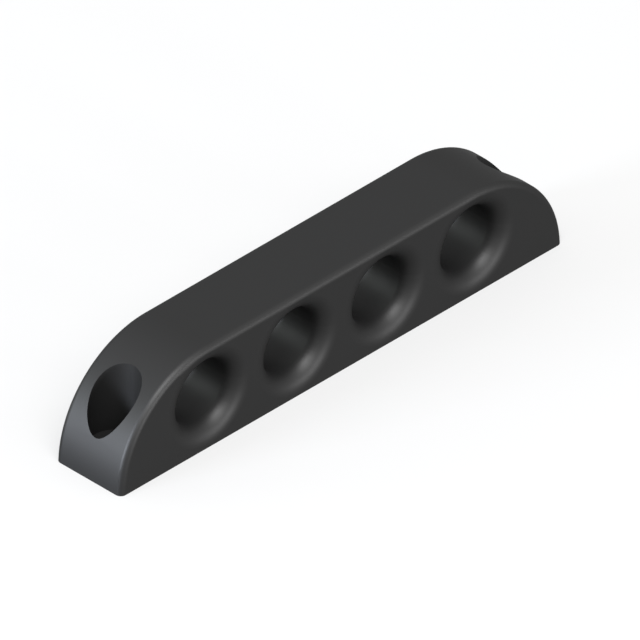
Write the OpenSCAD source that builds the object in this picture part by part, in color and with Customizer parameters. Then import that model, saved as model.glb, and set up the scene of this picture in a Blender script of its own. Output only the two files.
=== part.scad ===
// Rope deck organizer: one block with a row of bell-mouthed rope holes and a bolt hole at each end.
// Lengths are millimetres. X runs along the row, Y runs through the rope holes, Z points up.
// The origin is the middle of the flat base that sits on the deck.

/* [Rope holes] */
// Number of rope holes in the row
hole_count = 4; // [2:1:6]
// Distance from one rope hole to the next
hole_pitch = 25; // [24:0.5:32]
// Diameter of the straight throat of a rope hole
throat_d = 15; // [10:0.5:16]
// Radius of the bell mouth that leads a rope into the throat
bell_r = 3.75; // [2:0.25:4]

/* [Body] */
// Distance from the outermost rope hole to the end of the body
end_gap = 25; // [25:0.5:35]
// Width of the body, from mouth to mouth
body_w = 18.5; // [16:0.5:24]
// Height of the body above the deck, never more than the end radius
body_h = 24.3; // [24:0.1:25]
// Radius of the round ends, seen from the side
end_r = 25; // [25:0.5:28]
// Radius of the soft edges over the top and down both ends
edge_r = 1.4; // [0.8:0.1:2]

/* [Bolt holes] */
// Distance from the end of the body to the axis of its bolt
bolt_inset = 7.5; // [6.5:0.5:8]
// Diameter of the clearance hole for an M6 bolt
bolt_d = 6.6; // [5.5:0.1:7]
// Diameter of the counterbore that takes the bolt's cap head
head_d = 11; // [9:0.5:12]
// Thickness of the floor that the bolt's head clamps
seat_h = 4.5; // [3:0.5:8]

/* [Hidden] */
$fn = 96;
// How far a cutter runs past the surface that it opens
past = 2;
body_l = (hole_count - 1) * hole_pitch + 2 * end_gap;
throat_r = throat_d / 2;
mouth_r = throat_r + bell_r;
bell_start = body_w / 2 - bell_r;
hole_z = body_h / 2;
// The axis of each end arc lies a little below the deck, so the ends meet the deck almost square
arc_z = body_h - end_r;
// Where the middle meets an end, rounded to a micrometre so that both are cut at the same plane
arc_x = round(1000 * (body_l / 2 - sqrt(end_r * end_r - arc_z * arc_z))) / 1000;
bolt_x = body_l / 2 - bolt_inset;

// Section across the body, from the axis of the end arcs (x = 0) out to the two soft edges
module section() {
    translate([0, -body_w / 2])
        square([end_r - edge_r, body_w]);
    translate([0, edge_r - body_w / 2])
        square([end_r, body_w - 2 * edge_r]);
    for (side = [-1, 1])
        translate([end_r - edge_r, side * (body_w / 2 - edge_r)])
            circle(edge_r);
}

// Straight middle of the block: the section drawn along X
module middle() {
    translate([0, 0, arc_z])
        rotate([0, -90, 0])
            linear_extrude(2 * arc_x, center = true)
                section();
}

// Right-hand end of the block: the same section swung a quarter turn from the level to the top
module round_end() {
    translate([arc_x, 0, arc_z])
        rotate([90, 0, 0])
            rotate_extrude(angle = 90)
                section();
}

// The solid block, cut off flat at the deck
module block() {
    difference() {
        union() {
            middle();
            round_end();
            mirror([1, 0, 0])
                round_end();
        }
        translate([-body_l / 2 - past, -body_w / 2 - past, -end_r])
            cube([body_l + 2 * past, body_w + 2 * past, end_r]);
    }
}

// Half of a rope hole's profile: a straight throat, then a quarter circle that opens onto the face
module bell_profile() {
    difference() {
        square([mouth_r, body_w / 2 + past]);
        translate([throat_r, -past])
            square([mouth_r, bell_start + past]);
        translate([mouth_r, bell_start])
            circle(bell_r);
    }
}

// Cutter for one rope hole, turned about an axis along Y
module rope_hole() {
    rotate([90, 0, 0])
        rotate_extrude()
            union() {
                bell_profile();
                mirror([0, 1])
                    bell_profile();
            }
}

// Cutter for one bolt hole: a clearance hole under a counterbore that is open at the top
module bolt_hole() {
    translate([0, 0, -past])
        cylinder(d = bolt_d, h = seat_h + 2 * past);
    translate([0, 0, seat_h])
        cylinder(d = head_d, h = body_h);
}

module organizer_body() {
    color("#2f3031")
        difference() {
            block();
            for (i = [0 : hole_count - 1])
                translate([(i - (hole_count - 1) / 2) * hole_pitch, 0, hole_z])
                    rope_hole();
            for (side = [-1, 1])
                translate([side * bolt_x, 0, 0])
                    bolt_hole();
        }
}

organizer_body();
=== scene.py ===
# %% [markdown]
# A rope deck organizer, seen as in a product picture
#
# The object is one block of black aluminium that is bolted to a boat's deck. Four ropes run through
# it side by side, each through a throat with a bell mouth on both faces, and a counterbored hole at
# each end takes a bolt. Its shape is finished in the CAD model, so this lesson is about the finish,
# the light and the camera. All lengths below are metres unless a name ends in _MM or _PX.

# %% Load the CAD model as a fixed frame
import math

import bpy
import numpy as np
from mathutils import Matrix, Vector


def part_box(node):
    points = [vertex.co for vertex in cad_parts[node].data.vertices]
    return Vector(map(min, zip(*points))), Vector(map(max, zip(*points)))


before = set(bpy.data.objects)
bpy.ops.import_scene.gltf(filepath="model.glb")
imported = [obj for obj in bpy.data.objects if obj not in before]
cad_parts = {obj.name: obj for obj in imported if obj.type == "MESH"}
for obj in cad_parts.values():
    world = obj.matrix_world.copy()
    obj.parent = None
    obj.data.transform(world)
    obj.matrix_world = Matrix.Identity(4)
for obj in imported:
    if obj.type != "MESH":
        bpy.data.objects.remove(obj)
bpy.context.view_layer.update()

MM = 0.001
BODY_NODE = "organizer_body"

body_low, body_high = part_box(BODY_NODE)
body_length, body_width, body_height = body_high - body_low
print(f"body {body_length / MM:.1f} x {body_width / MM:.1f} x {body_height / MM:.1f} mm")

# %% [markdown]
# Colours
#
# A colour given in this file is an sRGB value, such as one writes on a web page. Shaders work with
# linear light, so every colour in this file passes through one function that undoes the sRGB curve.

# %% Turn an sRGB hex value into linear light
def linear(hex_colour):
    """Each channel c becomes ((c + 0.055) / 1.055) to the power 2.4, or c / 12.92 near black."""
    digits = hex_colour.lstrip("#")
    srgb = np.array([int(digits[i:i + 2], 16) for i in (0, 2, 4)]) / 255
    light = np.where(srgb <= 0.04045, srgb / 12.92, ((srgb + 0.055) / 1.055) ** 2.4)
    return (*light.tolist(), 1.0)


print("mid grey in linear light:", round(linear("#808080")[0], 3))

# %% [markdown]
# Shader nodes
#
# A procedural material is a small graph. One helper adds a node, sets its properties and its input
# values, and links whatever input is given as another node's output.

# %% Add one shader node
def add_node(tree, kind, inputs=None, **settings):
    """Makes a node of that kind. An input given as a socket is linked, and any other is set."""
    node = tree.nodes.new(kind)
    for name, value in settings.items():
        setattr(node, name, value)
    for name, value in (inputs or {}).items():
        if isinstance(value, bpy.types.NodeSocket):
            tree.links.new(value, node.inputs[name])
        else:
            node.inputs[name].default_value = value
    return node


def new_material(name):
    """A material with an empty node tree, and that tree, which the caller fills."""
    material = bpy.data.materials.new(name)
    material.use_nodes = True
    material.node_tree.nodes.clear()
    return material, material.node_tree


print("helpers:", add_node.__name__, "and", new_material.__name__)

# %% [markdown]
# The finish: black hard anodised aluminium
#
# The block is milled, blasted with fine beads and then hard anodised. The anodic film is a clear,
# hard oxide some 50 micrometres thick whose pores hold a black dye. Light crosses the film, is
# mirrored by the roughened metal under it and crosses the film again, so the block mirrors like a
# very dark metal, softly and broadly, and scatters almost nothing. One could build it as a black
# plastic with a weak gloss, but that grows too bright where the surface is seen edge on. So the
# shader is mostly metallic, its colour is what the dye lets through, and a grey specular tint
# holds back its rim.
# The beads leave dimples of about 0.1 mm. They are too fine to show at this distance, so the bump
# below is drawn at 0.3 mm and kept very faint, and a slow drift of the sheen stands for the small
# differences that a bath leaves from place to place.

# %% Build the anodised finish
BEAD_DIMPLE_MM = 0.3
BEAD_DEPTH_MM = 0.002
BEAD_STRENGTH = 0.5
BATH_PATCH_MM = 18
SATIN_ROUGHNESS = 0.50
SHEEN_DRIFT = 0.01
METAL_SHARE = 0.82
# The stretch of the noise that becomes the drift: beyond it the sheen stays at its end value
NOISE_LOW, NOISE_HIGH = 0.3, 0.7


def black_hard_anodised_aluminium():
    """Dark dyed film on metal: hardly any scattered light, a wide sheen, a faint grain of beads."""
    material, tree = new_material("black_hard_anodised_aluminium")
    place = add_node(tree, "ShaderNodeTexCoord").outputs["Object"]
    bath = add_node(tree, "ShaderNodeTexNoise", {
        "Vector": place, "Scale": 1 / (BATH_PATCH_MM * MM), "Detail": 2.0, "Roughness": 0.5,
    })
    sheen = add_node(tree, "ShaderNodeMapRange", {
        "Value": bath.outputs["Fac"],
        "From Min": NOISE_LOW, "From Max": NOISE_HIGH,
        "To Min": SATIN_ROUGHNESS - SHEEN_DRIFT, "To Max": SATIN_ROUGHNESS + SHEEN_DRIFT,
    })
    dimples = add_node(tree, "ShaderNodeTexNoise", {
        "Vector": place, "Scale": 1 / (BEAD_DIMPLE_MM * MM), "Detail": 1.0, "Roughness": 0.4,
    })
    grain = add_node(tree, "ShaderNodeBump", {
        "Height": dimples.outputs["Fac"], "Distance": BEAD_DEPTH_MM * MM, "Strength": BEAD_STRENGTH,
    })
    skin = add_node(tree, "ShaderNodeBsdfPrincipled", {
        "Base Color": linear("#252525"),
        "Metallic": METAL_SHARE,
        "Specular Tint": linear("#C9C9C9"),
        "Specular IOR Level": 0.0,
        "Roughness": sheen.outputs["Result"],
        "Normal": grain.outputs["Normal"],
    })
    add_node(tree, "ShaderNodeOutputMaterial", {"Surface": skin.outputs["BSDF"]})
    return material


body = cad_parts[BODY_NODE]
anodised = black_hard_anodised_aluminium()
for slot in body.material_slots:
    slot.material = anodised
print("finish on", BODY_NODE, "in", len(body.material_slots), "slot")

# %% [markdown]
# The camera
#
# The picture is an isometric one: the three edge directions run at 30 degrees and straight up, and
# parallel edges stay parallel. So the camera is orthographic and looks along the diagonal of a cube,
# from the front left and above. The scale is five pixels to the millimetre in a picture 640 pixels
# wide, and the framing is settled by one point, the sharp lower corner at the front left.

# %% Make the isometric camera
PICTURE_PX = 640
PX_PER_MM = 5.0
CORNER_PX = (120.8, 498.0)
CAMERA_DISTANCE = 0.6
CLIP_NEAR, CLIP_FAR = 0.01, 10.0

toward_camera = Vector((-1, -1, 1)).normalized()
image_right = Vector((1, -1, 0)).normalized()
image_up = toward_camera.cross(image_right)
px = MM / PX_PER_MM
corner = Vector((body_low.x, body_low.y, body_low.z))
centre_right = corner.dot(image_right) + (PICTURE_PX / 2 - CORNER_PX[0]) * px
centre_up = corner.dot(image_up) + (CORNER_PX[1] - PICTURE_PX / 2) * px
aim = image_right * centre_right + image_up * centre_up

lens = bpy.data.cameras.new("isometric_camera")
lens.type = "ORTHO"
lens.ortho_scale = PICTURE_PX * px
lens.clip_start, lens.clip_end = CLIP_NEAR, CLIP_FAR
camera = bpy.data.objects.new("isometric_camera", lens)
camera.rotation_mode = "QUATERNION"
camera.rotation_quaternion = (-toward_camera).to_track_quat("-Z", "Y")
camera.location = aim + toward_camera * CAMERA_DISTANCE
bpy.context.scene.collection.objects.link(camera)
bpy.context.scene.camera = camera
print("picture spans", round(lens.ortho_scale / MM, 1), "mm")

# %% [markdown]
# The floor
#
# Dark parts are often pictured on a light table, an opal sheet that glows from below. About half of
# its brightness is this glow, and the rest is light from the lamps and the room, so it is white all
# over, the block leaves only a faint shadow on it, and the upright faces mirror it. It is one flat
# face, large enough to fill the picture from any side, and a hair below the base, so that the two
# surfaces never fight for the same pixels.

# %% Lay the floor
FLOOR_HALF = 4.0
FLOOR_GAP = 0.02 * MM
TABLE_GLOW = 0.53


def floor_sheet():
    """A square whose four corners are plus and minus one, times half its side, just under the base."""
    corners = np.array([(-1, -1, 0), (1, -1, 0), (1, 1, 0), (-1, 1, 0)], float) * FLOOR_HALF
    corners[:, 2] = body_low.z - FLOOR_GAP
    mesh = bpy.data.meshes.new("studio_floor")
    mesh.from_pydata(corners.tolist(), [], [(0, 1, 2, 3)])
    sheet = bpy.data.objects.new("studio_floor", mesh)
    bpy.context.scene.collection.objects.link(sheet)
    return sheet


opal, opal_tree = new_material("opal_acrylic_light_table")
opal_skin = add_node(opal_tree, "ShaderNodeBsdfPrincipled", {
    "Base Color": linear("#595959"),
    "Roughness": 1.0,
    "Specular IOR Level": 0.0,
    "Emission Color": linear("#FFFFFF"),
    "Emission Strength": TABLE_GLOW,
})
add_node(opal_tree, "ShaderNodeOutputMaterial", {"Surface": opal_skin.outputs["BSDF"]})
floor = floor_sheet()
floor.data.materials.append(opal)
print("floor", 2 * FLOOR_HALF, "m square")

# %% [markdown]
# The light
#
# Six soft boxes shape the block, three metres away, so that each part of it is lit alike. Two stand
# beyond the left end: a cool one nearly square to it gives that end its sheen, and a large, faintly
# green one farther round gives the throats their glint. Two hang on the camera's side: a small one
# lights the top, and a large one with it draws the line along the soft edges. Two stand in front, a
# small one almost on the floor and a larger one to its right, and fill the lower lips of the bell
# mouths. A white room lights the rest.

# %% Set the soft boxes and the room
ROOM_LIGHT = 1.54
LAMP_DISTANCE = 3.0


def soft_box(name, azimuth, elevation, size, power, colour="#FFFFFF"):
    """A square lamp on a sphere round the block. Azimuth is counted from +X towards +Y, in degrees."""
    a, e = math.radians(azimuth), math.radians(elevation)
    direction = Vector((math.cos(a) * math.cos(e), math.sin(a) * math.cos(e), math.sin(e)))
    lamp = bpy.data.lights.new(name, "AREA")
    lamp.size = size
    lamp.energy = power
    lamp.color = linear(colour)[:3]
    box = bpy.data.objects.new(name, lamp)
    box.rotation_mode = "QUATERNION"
    box.rotation_quaternion = direction.to_track_quat("Z", "Y")
    box.location = direction * LAMP_DISTANCE + Vector((0, 0, body_height / 2))
    box.visible_camera = False
    bpy.context.scene.collection.objects.link(box)


soft_box("end_light", azimuth=165, elevation=9, size=0.94, power=298, colour="#EBF2FF")
soft_box("back_light", azimuth=130, elevation=15, size=1.55, power=54, colour="#F6FFFB")
soft_box("top_light", azimuth=-147, elevation=65, size=0.9, power=114)
soft_box("edge_light", azimuth=-115, elevation=53, size=1.9, power=175)
soft_box("lip_light", azimuth=-91, elevation=4, size=0.38, power=73)
soft_box("front_light", azimuth=-66, elevation=12, size=1.12, power=63)

world = bpy.data.worlds.new("white_room")
world.use_nodes = True
world.node_tree.nodes.clear()
room = add_node(world.node_tree, "ShaderNodeBackground", {
    "Color": linear("#FFFFFF"), "Strength": ROOM_LIGHT,
})
add_node(world.node_tree, "ShaderNodeOutputWorld", {"Surface": room.outputs["Background"]})
bpy.context.scene.world = world
bpy.context.scene.view_settings.view_transform = "Standard"
